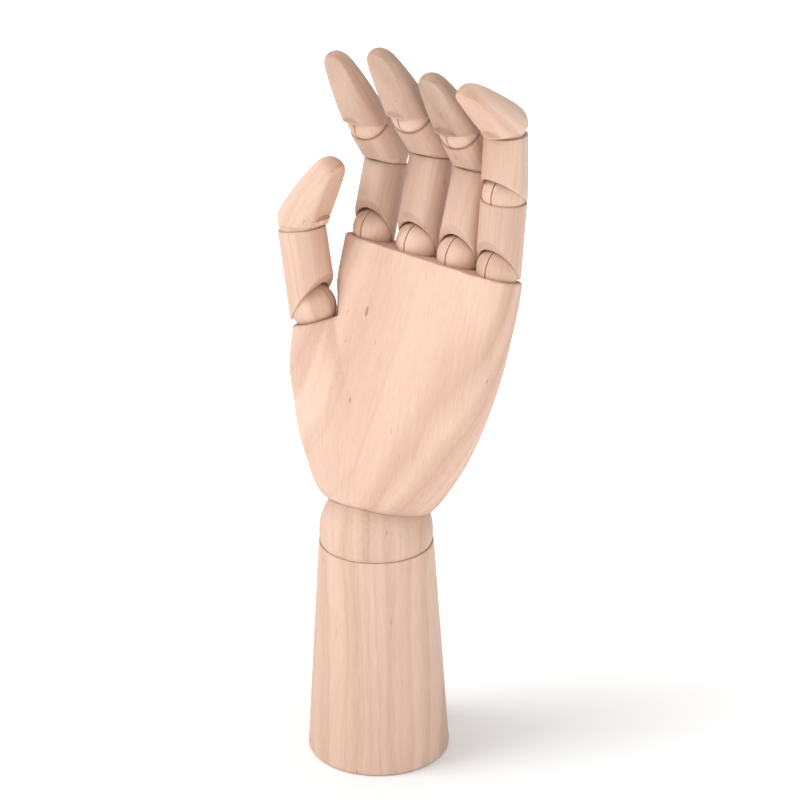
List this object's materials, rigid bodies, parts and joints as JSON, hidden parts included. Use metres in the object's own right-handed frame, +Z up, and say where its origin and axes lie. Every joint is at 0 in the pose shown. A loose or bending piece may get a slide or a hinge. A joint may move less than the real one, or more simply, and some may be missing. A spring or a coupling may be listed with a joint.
{
  "type": "jointed wooden hand",
  "caption": "Life-size jointed wooden left hand on a tapered turned forearm that is its stand, with ball joints at the knuckles and wrist.",
  "frame": {"origin": "centre of the underside of the forearm, on the surface that the hand stands on", "axes": "+Z up along the forearm, -Y the way the palm faces, -X the thumb side, +X the little finger side"},
  "size_m": [0.1074, 0.0785, 0.3052],
  "materials": {
    "forearm_wood": "bare turned hardwood, fine sanded, satin",
    "palm_wood": "bare carved hardwood, fine sanded, satin",
    "finger_wood": "bare turned hardwood, fine sanded, satin",
    "ball_wood": "bare turned hardwood, fine sanded, satin",
    "steel": "bright drawn steel"
  },
  "bodies": {
    "forearm": {"forearm": "forearm_wood", "base_plug": "forearm_wood"},
    "spring": {"wrist_spring": "steel", "spring_pin": "steel"},
    "wrist_ball": {"wrist_ball": "ball_wood"},
    "palm": {"palm": "palm_wood", "palm_eye": "steel", "index_knuckle_ball": "ball_wood", "middle_knuckle_ball": "ball_wood", "ring_knuckle_ball": "ball_wood", "little_knuckle_ball": "ball_wood", "thumb_knuckle_ball": "ball_wood"},
    "index_proximal": {"index_proximal_phalanx": "finger_wood", "index_knuckle_link": "steel", "index_mid_ball": "ball_wood"},
    "index_middle": {"index_middle_phalanx": "finger_wood", "index_mid_link": "steel", "index_tip_ball": "ball_wood"},
    "index_distal": {"index_distal_phalanx": "finger_wood", "index_tip_link": "steel"},
    "middle_proximal": {"middle_proximal_phalanx": "finger_wood", "middle_knuckle_link": "steel", "middle_mid_ball": "ball_wood"},
    "middle_middle": {"middle_middle_phalanx": "finger_wood", "middle_mid_link": "steel", "middle_tip_ball": "ball_wood"},
    "middle_distal": {"middle_distal_phalanx": "finger_wood", "middle_tip_link": "steel"},
    "ring_proximal": {"ring_proximal_phalanx": "finger_wood", "ring_knuckle_link": "steel", "ring_mid_ball": "ball_wood"},
    "ring_middle": {"ring_middle_phalanx": "finger_wood", "ring_mid_link": "steel", "ring_tip_ball": "ball_wood"},
    "ring_distal": {"ring_distal_phalanx": "finger_wood", "ring_tip_link": "steel"},
    "little_proximal": {"little_proximal_phalanx": "finger_wood", "little_knuckle_link": "steel", "little_mid_ball": "ball_wood"},
    "little_middle": {"little_middle_phalanx": "finger_wood", "little_mid_link": "steel", "little_tip_ball": "ball_wood"},
    "little_distal": {"little_distal_phalanx": "finger_wood", "little_tip_link": "steel"},
    "thumb_proximal": {"thumb_proximal_phalanx": "finger_wood", "thumb_knuckle_link": "steel", "thumb_tip_ball": "ball_wood"},
    "thumb_distal": {"thumb_distal_phalanx": "finger_wood", "thumb_tip_link": "steel"}
  },
  "joints": [
    {"name": "wrist_turn", "type": "hinge", "parent": "forearm", "child": "spring", "pos_m": [0, 0, 0.1004], "axis": [0, 0, 1], "continuous": true},
    {"name": "wrist_tilt", "type": "hinge", "parent": "spring", "child": "wrist_ball", "pos_m": [0, 0, 0.1004], "axis": [0, 1, 0], "range_deg": [-12, 12]},
    {"name": "wrist_bend", "type": "hinge", "parent": "wrist_ball", "child": "palm", "pos_m": [0, 0, 0.1004], "axis": [1, 0, 0], "range_deg": [-10, 40]},
    {"name": "index_knuckle_bend", "type": "hinge", "parent": "palm", "child": "index_proximal", "pos_m": [-0.02441, 0.03115, 0.2183], "axis": [0.9987, -0.0129, -0.0489], "range_deg": [-5, 17]},
    {"name": "index_mid_bend", "type": "hinge", "parent": "index_proximal", "child": "index_middle", "pos_m": [-0.02281, 0.0387, 0.24904], "axis": [0.9987, -0.0129, -0.0489], "range_deg": [-56, 1]},
    {"name": "index_tip_bend", "type": "hinge", "parent": "index_middle", "child": "index_distal", "pos_m": [-0.02212, 0.02466, 0.26686], "axis": [0.9987, -0.0129, -0.0489], "range_deg": [-7, 57]},
    {"name": "middle_knuckle_bend", "type": "hinge", "parent": "palm", "child": "middle_proximal", "pos_m": [-0.00141, 0.03085, 0.21717], "axis": [0.9987, -0.0129, -0.0489], "range_deg": [-7, 63]},
    {"name": "middle_mid_bend", "type": "hinge", "parent": "middle_proximal", "child": "middle_middle", "pos_m": [0.00059, 0.03894, 0.25588], "axis": [0.9987, -0.0129, -0.0489], "range_deg": [-56, 1]},
    {"name": "middle_tip_bend", "type": "hinge", "parent": "middle_middle", "child": "middle_distal", "pos_m": [0.00129, 0.02325, 0.27443], "axis": [0.9987, -0.0129, -0.0489], "range_deg": [-8, 56]},
    {"name": "ring_knuckle_bend", "type": "hinge", "parent": "palm", "child": "ring_proximal", "pos_m": [0.01959, 0.03058, 0.21614], "axis": [0.9987, -0.0129, -0.0489], "range_deg": [-4, 66]},
    {"name": "ring_mid_bend", "type": "hinge", "parent": "ring_proximal", "child": "ring_middle", "pos_m": [0.02153, 0.04038, 0.25322], "axis": [0.9987, -0.0129, -0.0489], "range_deg": [-56, 1]},
    {"name": "ring_tip_bend", "type": "hinge", "parent": "ring_middle", "child": "ring_distal", "pos_m": [0.02221, 0.02713, 0.27065], "axis": [0.9987, -0.0129, -0.0489], "range_deg": [-13, 51]},
    {"name": "little_knuckle_bend", "type": "hinge", "parent": "palm", "child": "little_proximal", "pos_m": [0.03969, 0.03032, 0.21516], "axis": [0.9987, -0.0129, -0.0489], "range_deg": [-16, 54]},
    {"name": "little_mid_bend", "type": "hinge", "parent": "little_proximal", "child": "little_middle", "pos_m": [0.04123, 0.03183, 0.24618], "axis": [0.9987, -0.0129, -0.0489], "range_deg": [-9, 48]},
    {"name": "little_tip_bend", "type": "hinge", "parent": "little_middle", "child": "little_distal", "pos_m": [0.04262, 0.03071, 0.27503], "axis": [0.9987, -0.0129, -0.0489], "range_deg": [-63, 1]},
    {"name": "thumb_knuckle_bend", "type": "hinge", "parent": "palm", "child": "thumb_proximal", "pos_m": [-0.04022, 0.01007, 0.18723], "axis": [0.0561, -0.9978, 0.0345], "range_deg": [-12, 11]},
    {"name": "thumb_tip_bend", "type": "hinge", "parent": "thumb_proximal", "child": "thumb_distal", "pos_m": [-0.04645, 0.01095, 0.22277], "axis": [0.0561, -0.9978, 0.0345], "range_deg": [-2, 44]}
  ]
}
